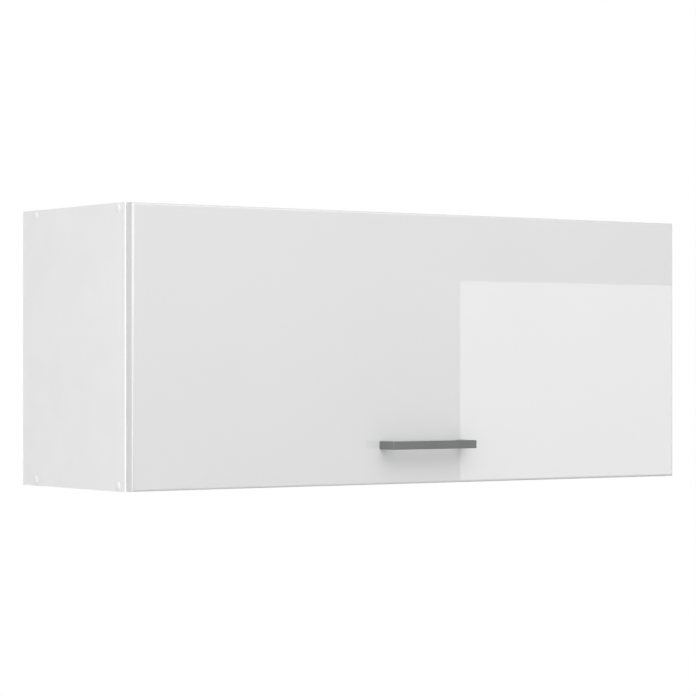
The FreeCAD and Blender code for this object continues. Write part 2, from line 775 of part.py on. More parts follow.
def pivot_pin(y, z, grow=0.0):
    """A shouldered rivet through the two flat arms, headed on both faces."""
    radius = link_pin_radius + grow
    reach = lever_outer - link_inner
    if grow:
        return rod((link_inner - past, y, z), (1, 0, 0), radius, reach + 2 * past)
    outline = [(0, -rivet_head_height), (rivet_head_radius, -rivet_head_height), (rivet_head_radius, 0),
               (radius, 0), (radius, reach), (rivet_tail_radius, reach),
               (rivet_tail_radius, reach + rivet_tail_height), (0, reach + rivet_tail_height)]
    return turned(outline, (link_inner, y, z), (1, 0, 0))


def stay_link():
    arm = tapered(elbow_y, elbow_z, link_radius, flap_pin_y, flap_pin_z, link_radius,
                  link_inner, link_outer)
    return arm.cut([pivot_pin(elbow_y, elbow_z, running), pivot_pin(flap_pin_y, flap_pin_z, link_play)])


bracket_inner = lever_outer - bracket_foot
bracket_screw_spots = [(bracket_inner + bracket_ear, flap_pin_z + side * bracket_screw_rise)
                       for side in (-1, 1)]


def bracket_screw(x, z, grow=0.0):
    return wood_screw((x, flap_back + bracket_sheet, z), (0, -1, 0), wood_grip, grow)


def stay_bracket():
    """The angle on the flap: a foot for the screws and an ear for the link's pin."""
    low = flap_pin_z - bracket_half
    high = flap_pin_z + bracket_half
    foot = prism([(bracket_inner, low, bracket_round), (lever_outer, low, 0), (lever_outer, high, 0),
                  (bracket_inner, high, bracket_round)], "y", flap_back, flap_back + bracket_sheet)
    ear_tip = flap_pin_y + bracket_ear
    ear_root = flap_back + bracket_ear_root
    ear = prism([(flap_back, low, 0), (ear_root, low, bracket_round),
                 (ear_tip, flap_pin_z - bracket_ear, bracket_ear_round),
                 (ear_tip, flap_pin_z + bracket_ear, bracket_ear_round),
                 (ear_root, high, bracket_round), (flap_back, high, 0)],
                "x", lever_outer - bracket_sheet, lever_outer)
    bracket = foot.fuse(ear).removeSplitter()
    cuts = [pivot_pin(flap_pin_y, flap_pin_z, loose / 2)]
    cuts += [bracket_screw(x, z, loose) for x, z in bracket_screw_spots]
    return bracket.cut(cuts)


# ---- Flap and handle ----

def handle_screw(x, grow=0.0):
    return machine_screw((x, flap_back, handle_z), (0, -1, 0), handle_bolt, grow)


def flap_panel():
    """The gloss board: rounded front edges, bored for the cups, the screws and the handle."""
    panel = box(-flap_half, flap_half, flap_front, flap_back, flap_bottom, flap_top)
    front_edges = [edge for edge in panel.Edges
                   if all(abs(vertex.Y - flap_front) < touch for vertex in edge.Vertexes)]
    panel = panel.makeFillet(flap_edge_round, front_edges)
    cup_bore = rod((hinge_x, flap_back + past, cup_z), (0, -1, 0), cup_radius + loose,
                   cup_depth + slack + past)
    cuts = [cup_bore]
    cuts += [cup_screw(x, z, loose) for x, z in cup_screw_spots]
    cuts += [bracket_screw(x, z, loose) for x, z in bracket_screw_spots]
    cuts.append(handle_screw(bolt_x, loose))
    return panel.cut(both(cuts))


def handle():
    """A square bar on two square legs, cast in one piece with its edges broken."""
    half = handle_length / 2
    front = flap_front - handle_reach
    low = handle_z - handle_section / 2
    high = handle_z + handle_section / 2
    bar = box(-half, half, front, front + handle_section, low, high)
    leg = box(half - handle_section, half, front, flap_front, low, high)
    body = bar.fuse(both([leg])).removeSplitter()
    edges = [edge for edge in body.Edges
             if not all(abs(vertex.Y - flap_front) < touch for vertex in edge.Vertexes)]
    body = body.makeChamfer(handle_edge, edges)
    return body.cut(both([handle_screw(bolt_x, loose)]))


def bumper_pad():
    height = flap_gap - slack
    outline = [(0, 0), (pad_radius, 0), (pad_radius, pad_rim), (pad_flat_radius, height), (0, height)]
    return turned(outline, (half_width - board_middle, carcass_front, pad_height), (0, -1, 0))


# ---- Write the pieces ----

os.makedirs("parts", exist_ok=True)

save_pair("side_panel", side_panel())
save("top_panel", level_panel(inner_top, inner_top, both([plate_screw(x, loose) for x in plate_screw_spots])))
save("bottom_panel", level_panel(0, board - groove_depth, []))
save("back_panel", back_panel())
save("edge_bands", edge_bands())
save("carcass_screws", both([carcass_screw(y, z) for y, z in carcass_screw_spots]))
save("screw_caps", both([screw_cap(y, z) for y, z in carcass_screw_spots]))
save("wood_dowels", both([dowel(y, z) for y, z in dowel_places]))
save("bumper_pads", both([bumper_pad()]))

save_pair("hanger_housing", hanger_housing())
save_pair("hanger_hook", hanger_hook())
save_pair("hanger_cover", hanger_cover())
save_pair("wall_plate", wall_plate())
save("hanger_screws", both([hanger_adjuster(z) for z in adjuster_heights]))
save("hanger_fixings", both([hanger_fixing(y, z) for y, z in hanger_screw_spots]))

save_pair("hinge_plate", hinge_plate())
save_pair("hinge_arm", hinge_arm())
save_pair("hinge_cup", hinge_cup())
save_pair("hinge_pin", hinge_pin())
save("hinge_plate_screws", both([plate_screw(x) for x in plate_screw_spots]))
save("hinge_arm_screws", both([arm_screw(y) for y in arm_screw_spots]))
save("hinge_cup_screws", both([cup_screw(x, z) for x, z in cup_screw_spots]))

save_pair("stay_base", stay_base())
save_pair("stay_cover", stay_cover())
save_pair("stay_cartridge", stay_cartridge())
save_pair("stay_shaft", stay_shaft())
save_pair("stay_lever", stay_lever())
save_pair("stay_link", stay_link())
save_pair("lever_screw", lever_screw())
save_pair("lever_pin", pivot_pin(elbow_y, elbow_z))
save_pair("stay_bracket", stay_bracket())
save_pair("bracket_pin", pivot_pin(flap_pin_y, flap_pin_z))
save("stay_screws", both([stay_screw(y, z) for y, z in stay_screw_spots]))
save("stay_bracket_screws", both([bracket_screw(x, z) for x, z in bracket_screw_spots]))

save("flap_panel", flap_panel())
save("handle", handle())
save("handle_screws", both([handle_screw(bolt_x)]))
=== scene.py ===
"""Finishes and small pieces of a lift up wall cabinet, in metres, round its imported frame."""

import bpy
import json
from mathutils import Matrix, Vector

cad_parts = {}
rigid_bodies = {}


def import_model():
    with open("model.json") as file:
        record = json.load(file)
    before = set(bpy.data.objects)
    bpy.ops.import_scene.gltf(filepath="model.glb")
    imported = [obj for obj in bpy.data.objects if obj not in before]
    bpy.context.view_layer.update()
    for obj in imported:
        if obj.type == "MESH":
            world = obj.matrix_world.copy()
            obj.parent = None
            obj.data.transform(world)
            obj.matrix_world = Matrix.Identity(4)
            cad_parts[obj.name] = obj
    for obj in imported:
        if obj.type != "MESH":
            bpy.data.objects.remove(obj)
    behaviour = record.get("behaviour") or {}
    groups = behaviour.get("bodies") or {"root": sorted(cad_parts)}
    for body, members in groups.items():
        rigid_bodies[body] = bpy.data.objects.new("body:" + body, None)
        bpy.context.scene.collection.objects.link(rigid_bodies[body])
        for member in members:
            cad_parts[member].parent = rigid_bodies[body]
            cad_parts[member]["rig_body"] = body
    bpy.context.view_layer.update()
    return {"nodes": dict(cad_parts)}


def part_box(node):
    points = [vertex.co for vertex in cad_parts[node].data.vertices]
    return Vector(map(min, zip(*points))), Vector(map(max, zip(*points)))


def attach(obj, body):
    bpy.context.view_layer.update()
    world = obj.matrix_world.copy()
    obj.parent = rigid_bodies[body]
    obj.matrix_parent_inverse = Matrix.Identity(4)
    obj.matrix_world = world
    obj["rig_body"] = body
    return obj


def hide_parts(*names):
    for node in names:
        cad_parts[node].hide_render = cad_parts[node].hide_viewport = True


bl_info = {
    "name": "Lift Up Wall Cabinet",
    "version": (1, 0, 0),
    "blender": (4, 5, 0),
    "location": "3D View > Sidebar > Cabinet",
    "description": "Makes the boards, front, fittings and studio of a lift up wall cabinet",
    "category": "Object",
}

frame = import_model()

import json
import math

import bmesh
import bpy
from bpy.props import FloatProperty, FloatVectorProperty, IntProperty, PointerProperty
from mathutils import Matrix, Vector

MM = 0.001

# ---- Places that come from the frame ----

flap_low, flap_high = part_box("flap_panel")
handle_low, handle_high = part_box("handle")
cup_rim = 1.0 * MM                 # how far a hinge cup's flange reaches past its bore

# ---- How meshes are joined and shaded ----

JOIN = 0.002 * MM                  # corners nearer than this are one corner
FLAT = math.radians(0.3)           # faces that turn less than this are one flat face
SHARP = math.radians(34)           # edges that turn more than this are broken
CREASE = math.radians(50)          # edges that turn more than this stay crisp
ON_PLANE = 0.05 * MM               # corners nearer to a plane than this lie on it
LOOSE = 0.1 * MM                   # room round a screw or a cup in its hole
ARC_STEPS = 5                      # steps in a turned piece's rounded corners
BORE_SIDES = 40                    # sides of a drilled hole
FLAP_EDGE_STEPS = 8                # steps in the rounding of the front's outer edges
NOISE_LOW, NOISE_HIGH = 0.3, 0.7   # nearly all values of a noise pattern lie between these


def linear(hex_code):
    """An sRGB hex colour as linear red, green and blue."""
    values = [int(hex_code[place:place + 2], 16) / 255 for place in (0, 2, 4)]
    return [value / 12.92 if value <= 0.04045 else ((value + 0.055) / 1.055) ** 2.4
            for value in values]


def colour_property(name, description, hex_code):
    return FloatVectorProperty(name=name, description=description, subtype="COLOR", size=3,
                               min=0, max=1, default=linear(hex_code))


def length_property(name, description, millimetres):
    return FloatProperty(name=name, description=description, subtype="DISTANCE", unit="LENGTH",
                         default=millimetres * MM, precision=5)


# ---- Sizes and colours that a user would change ----

class BoardSettings(bpy.types.PropertyGroup):
    melamine: colour_property("Melamine", "Colour of the boards' faces", "E5E5E5")
    band: colour_property("Edge band", "Colour of the strips on the front edges", "F0F0F0")
    hardboard: colour_property("Back board", "Colour of the back board's inner face", "DADAD9")
    broken_edge: length_property("Broken edge", "Width of the boards' broken edges", 0.3)
    band_round: length_property("Band rounding", "Radius of the edge bands' long corners", 1.8)


class FlapSettings(bpy.types.PropertyGroup):
    gloss: colour_property("Gloss", "Colour of the front's gloss foil", "D5D5D5")
    inside: colour_property("Inside", "Colour of the front's inner face", "DDDDDC")
    edge_round: length_property("Edge rounding", "Radius of the front's outer edges", 3.5)
    rear_round: length_property("Rear rounding", "Radius of the front's rear edges", 0.5)
    roughness: FloatProperty(name="Roughness", description="Roughness of the gloss foil",
                             subtype="FACTOR", min=0, max=1, default=0.006)


class HandleSettings(bpy.types.PropertyGroup):
    paint: colour_property("Paint", "Colour of the handle's paint", "6A6D6C")
    edge_round: length_property("Edge rounding", "Radius of the bar's long edges", 0.8)


class FittingSettings(bpy.types.PropertyGroup):
    plastic: colour_property("White plastic", "Colour of the caps and hanger covers", "E4E4E3")
    case: colour_property("Stay case", "Colour of the lift stays' covers", "B9BBBC")
    cap_rise: length_property("Cap height", "How far a screw cap stands off the board", 1.3)
    pressed_edge: length_property("Pressed edge", "Radius of the pressed steel's edges", 0.25)
    moulded_edge: length_property("Moulded edge", "Radius of the moulded pieces' edges", 0.4)
    turn_steps: IntProperty(name="Turn steps", description="Sides of the turned pieces",
                            min=12, max=96, default=40)


class StageSettings(bpy.types.PropertyGroup):
    floor: colour_property("Floor", "Colour of the floor", "D2D2D2")
    floor_drop: length_property("Floor drop", "Cabinet's underside to the floor", 1450)
    fill: FloatProperty(name="Fill", description="Strength of the even light from all round",
                        min=0, max=2, default=0.34)
    key: FloatProperty(name="Key light", description="Strength of the broad light from the left",
                       min=0, max=20, default=2.7)
    side: FloatProperty(name="Side light", description="Radiance of the panel by the left side",
                        min=0, max=20, default=0.67)
    top: FloatProperty(name="Top light", description="Radiance of the panel over the front",
                       min=0, max=20, default=0.85)
    rear: FloatProperty(name="Rear light", description="Strength of the broad light from behind",
                        min=0, max=20, default=0.9)
    card: FloatProperty(name="Card", description="Radiance of the panel mirrored in the front",
                        min=0, max=20, default=1.1)
    heading: FloatProperty(name="Heading", description="Turn of the camera to the right",
                           subtype="ANGLE", unit="ROTATION", default=math.radians(34.906))
    lens: FloatProperty(name="Lens", description="Focal length on a 36 mm frame",
                        subtype="DISTANCE_CAMERA", unit="CAMERA", default=143.17)


# ---- Shaders ----

def add_node(tree, kind, inputs=None, **settings):
    """Add a node, set its properties, and set or link its inputs."""
    new = tree.nodes.new(kind)
    for name, value in settings.items():
        setattr(new, name, value)
    for socket, value in (inputs or {}).items():
        if isinstance(value, bpy.types.NodeSocket):
            tree.links.new(value, new.inputs[socket])
        else:
            new.inputs[socket].default_value = value
    return new


def new_finish(name, **sockets):
    """A material, its tree, its shader and the object's own coordinates.

    Keys are the shader's sockets, with _ for a space.
    """
    material = bpy.data.materials.new(name)
    material.use_nodes = True
    tree = material.node_tree
    shader = tree.nodes["Principled BSDF"]
    for socket, value in sockets.items():
        shader.inputs[socket.replace("_", " ")].default_value = value
    place = add_node(tree, "ShaderNodeTexCoord").outputs["Object"]
    return material, tree, shader, place


def grain(tree, place, size, detail=2.0, stretch=(1, 1, 1)):
    """Noise whose lumps are about a given size in metres, longer where stretch is larger."""
    scaled = add_node(tree, "ShaderNodeMapping", {"Vector": place, "Scale": [1 / s for s in stretch]})
    noise = add_node(tree, "ShaderNodeTexNoise",
                     {"Vector": scaled.outputs[0], "Scale": 1 / size, "Detail": detail})
    return noise.outputs["Fac"]


def spread(tree, factor, low, high):
    """Map the middle range of a noise pattern to values from low to high."""
    mapped = add_node(tree, "ShaderNodeMapRange", {"Value": factor, "From Min": NOISE_LOW,
                      "From Max": NOISE_HIGH, "To Min": low, "To Max": high})
    return mapped.outputs["Result"]


def tint(tree, factor, stops):
    """Colours along a pattern, as (place, sRGB hex or linear colour) stops."""
    ramp = add_node(tree, "ShaderNodeValToRGB", {"Fac": factor})
    points = ramp.color_ramp.elements
    while len(points) < len(stops):
        points.new(0.5)
    for point, (at, colour) in zip(points, stops):
        rgb = linear(colour) if isinstance(colour, str) else colour
        point.position = at
        point.color = (*rgb, 1)
    return ramp.outputs["Color"]


def shaded(colour, share):
    """A colour made darker or lighter by a share."""
    return [min(1.0, channel * share) for channel in colour]


def join(tree, output, shader, socket):
    tree.links.new(output, shader.inputs[socket])


def relief(tree, shader, height, depth, strength):
    """Bumps of a given depth in metres."""
    bump = add_node(tree, "ShaderNodeBump", {"Height": height, "Distance": depth,
                                             "Strength": strength})
    join(tree, bump.outputs["Normal"], shader, "Normal")


def two_tone(tree, shader, pattern, dark, light):
    """Colour a surface from dark to light over the middle range of a noise pattern."""
    join(tree, tint(tree, pattern, [(NOISE_LOW, dark), (NOISE_HIGH, light)]),
         shader, "Base Color")


def melamine(name, colour):
    """Melamine paper on chipboard: a satin sheen that a fine pressed grain breaks up."""
    material, tree, shader, place = new_finish(name, IOR=1.5)
    cloud = grain(tree, place, 60 * MM)
    two_tone(tree, shader, cloud, shaded(colour, 0.985), shaded(colour, 1.01))
    pearl = grain(tree, place, 0.9 * MM, 3)
    join(tree, spread(tree, pearl, 0.36, 0.46), shader, "Roughness")
    relief(tree, shader, pearl, 0.02 * MM, 0.5)
    return material


def extruded_abs(colour):
    """Extruded ABS band glued on the edge: smoother than the boards, with faint streaks."""
    material, tree, shader, place = new_finish("Extruded ABS", IOR=1.5)
    streak = grain(tree, place, 1.2 * MM, 2, (1, 1, 40))
    join(tree, tint(tree, streak, [(0.35, shaded(colour, 0.985)), (0.65, colour)]),
         shader, "Base Color")
    join(tree, spread(tree, streak, 0.28, 0.36), shader, "Roughness")
    relief(tree, shader, streak, 0.01 * MM, 0.4)
    return material


def gloss_foil(colour, roughness):
    """High gloss foil pressed on fibreboard: a mirror-like skin with a barely wavy surface.

    Its IOR is above a plain lacquer's 1.5, to mirror as clearly as the real front does.
    """
    material, tree, shader, place = new_finish("High gloss foil", IOR=1.75, Roughness=roughness)
    cloud = grain(tree, place, 180 * MM, 1)
    two_tone(tree, shader, cloud, shaded(colour, 0.995), shaded(colour, 1.005))
    wave = grain(tree, place, 14 * MM, 0)
    relief(tree, shader, wave, 0.0006 * MM, 0.5)
    return material


def raw_chipboard():
    """Sawn chipboard: flat chips about 2 mm thick and 5 mm long, pale to brown, with open pores."""
    material, tree, shader, place = new_finish("Raw chipboard", Roughness=0.85)
    flat = add_node(tree, "ShaderNodeMapping", {"Vector": place, "Scale": (0.4, 0.4, 1)}).outputs[0]
    chips = add_node(tree, "ShaderNodeTexVoronoi", {"Vector": flat, "Scale": 1 / (2.2 * MM)})
    shade = add_node(tree, "ShaderNodeSeparateColor", {"Color": chips.outputs["Color"]})
    colour = tint(tree, shade.outputs["Red"],
                  [(0.0, "A9855F"), (0.3, "C9A57C"), (0.7, "DCBD95"), (1.0, "EAD4B2")])
    join(tree, colour, shader, "Base Color")
    relief(tree, shader, chips.outputs["Distance"], 0.2 * MM, 0.6)
    return material


def raw_fibreboard():
    """Cut fibreboard in the bores of the front: even brown felt, no chips."""
    material, tree, shader, place = new_finish("Raw fibreboard", Roughness=0.9)
    fibre = grain(tree, place, 0.5 * MM, 3)
    two_tone(tree, shader, fibre, "96754F", "B59470")
    relief(tree, shader, fibre, 0.05 * MM, 0.6)
    return material


def lacquered_hardboard(colour):
    """The back board's face: thin white lacquer over fibres that still show as faint ripples."""
    material, tree, shader, place = new_finish("Lacquered hardboard", IOR=1.5)
    fibre = grain(tree, place, 1.6 * MM, 3)
    two_tone(tree, shader, fibre, shaded(colour, 0.98), colour)
    join(tree, spread(tree, fibre, 0.38, 0.48), shader, "Roughness")
    relief(tree, shader, fibre, 0.03 * MM, 0.5)
    return material


def bare_hardboard():
    """The back board's rear: brown pressed fibre that carries the print of a wire mesh.

    The wires are 1.8 mm apart in the real board and drawn 3.6 mm apart, so that they show.
    """
    material, tree, shader, place = new_finish("Bare hardboard", Roughness=0.8)
    fibre = grain(tree, place, 9 * MM, 4)
    wire_scale = math.tau / 20 / (3.6 * MM)      # a wave texture turns 20 radians in each unit
    wires = [add_node(tree, "ShaderNodeTexWave", {"Vector": place, "Scale": wire_scale},
                      bands_direction=direction).outputs["Fac"] for direction in "XZ"]
    mesh = add_node(tree, "ShaderNodeMath", {0: wires[0], 1: wires[1]},
                    operation="MULTIPLY").outputs[0]
    shade = add_node(tree, "ShaderNodeMath", {0: mesh, 1: 0.3, 2: fibre},
                     operation="MULTIPLY_ADD").outputs[0]
    join(tree, tint(tree, shade, [(0.3, "8C6A4A"), (0.6, "A17C59"), (0.9, "B38E69")]),
         shader, "Base Color")
    relief(tree, shader, mesh, 0.12 * MM, 0.6)
    return material


def satin_paint(colour):
    """Satin paint sprayed on a zinc casting: soft sheen, fine spray grain of about 0.4 mm."""
    material, tree, shader, place = new_finish("Satin paint on zinc", IOR=1.5)
    cloud = grain(tree, place, 25 * MM)
    two_tone(tree, shader, cloud, shaded(colour, 0.96), shaded(colour, 1.04))
    spray = grain(tree, place, 0.4 * MM, 2)
    join(tree, spread(tree, spray, 0.36, 0.46), shader, "Roughness")
    relief(tree, shader, spray, 0.01 * MM, 0.5)
    return material


def plated_steel(name, bright, dull, roughness):
    """Plated steel: faint clouds in its colour, and rolling marks that mottle the sheen."""
    material, tree, shader, place = new_finish(name, Metallic=1.0)
    mottle = grain(tree, place, 12 * MM)
    two_tone(tree, shader, mottle, dull, bright)
    rolled = grain(tree, place, 0.5 * MM, 2, (1, 1, 12))
    join(tree, spread(tree, rolled, roughness - 0.03, roughness + 0.04), shader, "Roughness")
    relief(tree, shader, rolled, 0.003 * MM, 0.4)
    return material


def moulded_plastic(name, colour, roughness):
    """Injection moulded plastic: even colour, spark-eroded grain of about 0.5 mm."""
    material, tree, shader, place = new_finish(name, IOR=1.5)
    cloud = grain(tree, place, 20 * MM)
    two_tone(tree, shader, cloud, shaded(colour, 0.985), colour)
    spark = grain(tree, place, 0.5 * MM, 2)
    join(tree, spread(tree, spark, roughness - 0.04, roughness + 0.05), shader, "Roughness")
    relief(tree, shader, spark, 0.012 * MM, 0.5)
    return material


def clear_polyurethane():
    """Cast clear polyurethane of the pads: milky over the white board, with soft highlights."""
    material, tree, shader, place = new_finish("Clear polyurethane", IOR=1.48,
                                               Transmission_Weight=0.3,
                                               Base_Color=(*linear("E9EBEB"), 1))
    join(tree, spread(tree, grain(tree, place, 1.5 * MM), 0.08, 0.16), shader, "Roughness")
    return material


def beech():
    """Turned beech: warm pale wood with short darker flecks along the grain."""
    material, tree, shader, place = new_finish("Beech", Roughness=0.6)
    fleck = grain(tree, place, 0.8 * MM, 3, (10, 1, 1))
    join(tree, tint(tree, fleck, [(0.3, "B98E62"), (0.5, "D3AC7F"), (0.7, "DFBE94")]),
         shader, "Base Color")
    relief(tree, shader, fleck, 0.03 * MM, 0.5)
    return material


made_finishes = {}


def finish_named(name):
    """The finish of that name, made the first time that it is asked for."""
    scene = bpy.context.scene
    boards, flap = scene.cabinet_boards, scene.cabinet_flap
    fittings = scene.cabinet_fittings
    recipes = {
        "melamine": lambda: melamine("Melamine board", boards.melamine),
        "inner melamine": lambda: melamine("Melamine inside", flap.inside),
        "band": lambda: extruded_abs(boards.band),
        "hardboard": lambda: lacquered_hardboard(boards.hardboard),
        "bare hardboard": bare_hardboard,
        "chipboard": raw_chipboard,
        "fibreboard": raw_fibreboard,
        "gloss": lambda: gloss_foil(flap.gloss, flap.roughness),
        "paint": lambda: satin_paint(scene.cabinet_handle.paint),
        "zinc": lambda: plated_steel("Zinc plated steel", "D6DADC", "C8CDD0", 0.33),
        "nickel": lambda: plated_steel("Nickel plated steel", "DBD8D3", "D0CDC7", 0.24),
        "white plastic": lambda: moulded_plastic("White polypropylene", fittings.plastic, 0.4),
        "case plastic": lambda: moulded_plastic("Grey ABS", fittings.case, 0.42),
        "clear": clear_polyurethane,
        "beech": beech,
    }
    if name not in made_finishes:
        made_finishes[name] = recipes[name]()
    return made_finishes[name]


# ---- Meshes ----

def merged(node):
    """A CAD node's mesh as one closed skin, its corners joined and its flat faces whole."""
    skin = bmesh.new()
    skin.from_mesh(frame["nodes"][node].data)
    bmesh.ops.remove_doubles(skin, verts=skin.verts, dist=JOIN)
    bmesh.ops.dissolve_limit(skin, angle_limit=FLAT, verts=skin.verts, edges=skin.edges)
    return skin


def round_edges(skin, edges, radius, steps, clamp=False):
    """Round some edges of a skin; clamp keeps roundings that meet from overlapping."""
    bmesh.ops.bevel(skin, geom=edges, offset=radius, offset_type="OFFSET", segments=steps,
                    profile=0.5, affect="EDGES", clamp_overlap=clamp, material=-1)


def break_edges(skin, width, steps=2, wanted=None):
    """Round the sharp edges of a skin, or those of them that wanted picks."""
    edges = [edge for edge in skin.edges
             if edge.is_manifold and edge.calc_face_angle() > SHARP
             and (wanted is None or wanted(edge))]
    round_edges(skin, edges, width, steps, clamp=True)


def edges_on_plane(skin, axis, place):
    """The edges of a skin that lie in a plane across an axis."""
    return [edge for edge in skin.edges
            if all(abs(corner.co[axis] - place) < ON_PLANE for corner in edge.verts)]


def make_piece(name, skin, nodes, finishes):
    """Turn a skin into a shaded piece that stands for CAD nodes and moves with their body."""
    if not skin.faces or any(not edge.is_manifold for edge in skin.edges):
        raise RuntimeError(name + " isn't a closed skin")
    mesh = bpy.data.meshes.new(name)
    skin.to_mesh(mesh)
    skin.free()
    mesh.shade_smooth()
    mesh.set_sharp_from_angle(angle=CREASE)
    for entry in finishes:
        mesh.materials.append(finish_named(entry))
    piece = bpy.data.objects.new(name, mesh)
    bpy.context.scene.collection.objects.link(piece)
    flats = piece.modifiers.new("Flat faces stay flat", "WEIGHTED_NORMAL")
    flats.keep_sharp = True
    flats.weight = 100
    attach(piece, frame["nodes"][nodes[0]]["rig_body"])
    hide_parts(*nodes)
    return piece


def finish_nodes(nodes, finishes, width):
    """Give CAD shapes that are right as they are softer edges and a finish."""
    for node in nodes:
        skin = merged(node)
        break_edges(skin, width)
        make_piece(node + "_finished", skin, [node], finishes)


def pair(*names):
    return [name + side for name in names for side in ("_left", "_right")]


def islands(node):
    """The places of each separate solid's corners in a node, in the same order each run."""
    skin = merged(node)
    left = dict.fromkeys(skin.verts)
    found = []
    while left:
        reached = [left.popitem()[0]]
        for corner in reached:
            for edge in corner.link_edges:
                other = edge.other_vert(corner)
                if other in left:
                    del left[other]
                    reached.append(other)
        found.append([corner.co.copy() for corner in reached])
    skin.free()
    return found


def stand_at(spot, direction):
    """The matrix that takes a shape from the origin, pointing up, to a spot and direction."""
    return Matrix.Translation(spot) @ direction.to_track_quat("Z", "Y").to_matrix().to_4x4()


class Spindle:
    """A turned solid of the frame: its wide end, its direction and its sizes."""

    def __init__(self, corners):
        low = Vector([min(corner[axis] for corner in corners) for axis in range(3)])
        high = Vector([max(corner[axis] for corner in corners) for axis in range(3)])
        size = high - low
        uneven = [abs(size[(axis + 1) % 3] - size[(axis + 2) % 3]) for axis in range(3)]
        along = uneven.index(min(uneven))
        middle = (low + high) / 2
        self.radius = max(size[(along + 1) % 3], size[(along + 2) % 3]) / 2
        self.length = size[along]
        rim = []
        for corner in corners:
            arm = corner - middle
            arm[along] = 0
            if arm.length > 0.97 * self.radius:
                rim.append(corner[along])
        wide_end_is_low = sum(rim) / len(rim) < middle[along]
        self.start = middle.copy()
        self.start[along] = low[along] if wide_end_is_low else high[along]
        self.direction = Vector((0, 0, 0))
        self.direction[along] = 1 if wide_end_is_low else -1

    def stand(self):
        """The matrix that takes a shape from the origin, pointing up, to this place."""
        return stand_at(self.start, self.direction)


def spindles_of(node):
    return [Spindle(corners) for corners in islands(node)]


def rounded(corners):
    """(radius, height, rounding) corners of a half section as points, with arcs at roundings."""
    points = []
    for index, (radius, height, rounding) in enumerate(corners):
        spot = Vector((radius, 0, height))
        if rounding == 0:
            points.append(spot)
            continue
        before = (Vector((corners[index - 1][0], 0, corners[index - 1][1])) - spot).normalized()
        after = (Vector((corners[index + 1][0], 0, corners[index + 1][1])) - spot).normalized()
        half = before.angle(after) / 2
        middle = spot + (before + after).normalized() * (rounding / math.sin(half))
        first = spot + before * (rounding / math.tan(half)) - middle
        last = spot + after * (rounding / math.tan(half)) - middle
        for step in range(ARC_STEPS + 1):
            points.append(middle + first.slerp(last, step / ARC_STEPS).normalized() * rounding)
    return points


def turned(corners):
    """Spin a half section about the upright axis into a closed skin."""
    skin = bmesh.new()
    line = [skin.verts.new(point) for point in rounded(corners)]
    edges = [skin.edges.new(ends) for ends in zip(line, line[1:])]
    bmesh.ops.spin(skin, geom=line + edges, cent=(0, 0, 0), axis=(0, 0, 1), angle=math.tau,
                   steps=bpy.context.scene.cabinet_fittings.turn_steps, use_merge=True)
    bmesh.ops.remove_doubles(skin, verts=skin.verts, dist=JOIN)
    bmesh.ops.recalc_face_normals(skin, faces=skin.faces)
    return skin


def lofted(rings):
    """A closed skin through rings that have as many points each, with flat ends."""
    skin = bmesh.new()
    rows = [[skin.verts.new(point) for point in ring] for ring in rings]
    for row, following in zip(rows, rows[1:]):
        for index, corner in enumerate(row):
            skin.faces.new((row[index - 1], corner, following[index], following[index - 1]))
    skin.faces.new(rows[0])
    skin.faces.new(rows[-1])
    bmesh.ops.recalc_face_normals(skin, faces=skin.faces)
    return skin


def circle(radius, height, count, every_other=1.0):
    """Points on a circle, every second one pulled in by a share."""
    return [Matrix.Rotation(math.tau * index / count, 3, "Z")
            @ Vector((radius * (every_other if index % 2 else 1.0), 0, height))
            for index in range(count)]


def block(low, high):
    """A closed box between two corners."""
    skin = bmesh.new()
    size = Vector(high) - Vector(low)
    place = Matrix.Translation((Vector(high) + Vector(low)) / 2) @ Matrix.Diagonal((*size, 1))
    bmesh.ops.create_cube(skin, size=1, matrix=place)
    return skin


def as_object(skin, name):
    mesh = bpy.data.meshes.new(name)
    skin.to_mesh(mesh)
    skin.free()
    holder = bpy.data.objects.new(name, mesh)
    bpy.context.scene.collection.objects.link(holder)
    return holder


def drill(spot, direction, radius, depth):
    """A round cutter that starts just before a spot."""
    skin = lofted([circle(radius, level, BORE_SIDES) for level in (-MM, depth)])
    bmesh.ops.transform(skin, matrix=stand_at(spot, direction), verts=skin.verts)
    return skin


def carved(skin, cutters):
    """A skin with the cutters' shapes taken out of it."""
    body = as_object(skin, "carved")
    holders = [body]
    for cutter in cutters:
        tool = as_object(cutter, "cutter")
        holders.append(tool)
        cut = body.modifiers.new("Cut", "BOOLEAN")
        cut.operation = "DIFFERENCE"
        cut.solver = "EXACT"
        cut.object = tool
    result = bmesh.new()
    result.from_object(body, bpy.context.evaluated_depsgraph_get())
    for holder in holders:
        data = holder.data
        bpy.data.objects.remove(holder)
        bpy.data.meshes.remove(data)
    bmesh.ops.remove_doubles(result, verts=result.verts, dist=JOIN)
    return result


def add_skin(together, skin):
    """Move a skin's faces into another skin."""
    mesh = bpy.data.meshes.new("part")
    skin.to_mesh(mesh)
    skin.free()
    together.from_mesh(mesh)
    bpy.data.meshes.remove(mesh)


def repeat(skin, spindles):
    """One skin that holds a copy of a shape at each spindle's place."""
    shape = bpy.data.meshes.new("shape")
    skin.to_mesh(shape)
    skin.free()
    together = bmesh.new()
    for spindle in spindles:
        copy = shape.copy()
        copy.transform(spindle.stand())
        together.from_mesh(copy)
        bpy.data.meshes.remove(copy)
    bpy.data.meshes.remove(shape)
    return together


# ---- Boards ----

def on_plane(face, axis, places):
    """Whether a face lies flat across an axis at one of the places."""
    middle = face.calc_center_median()[axis]
    return abs(face.normal[axis]) > 0.99 and any(abs(middle - place) < ON_PLANE for place in places)


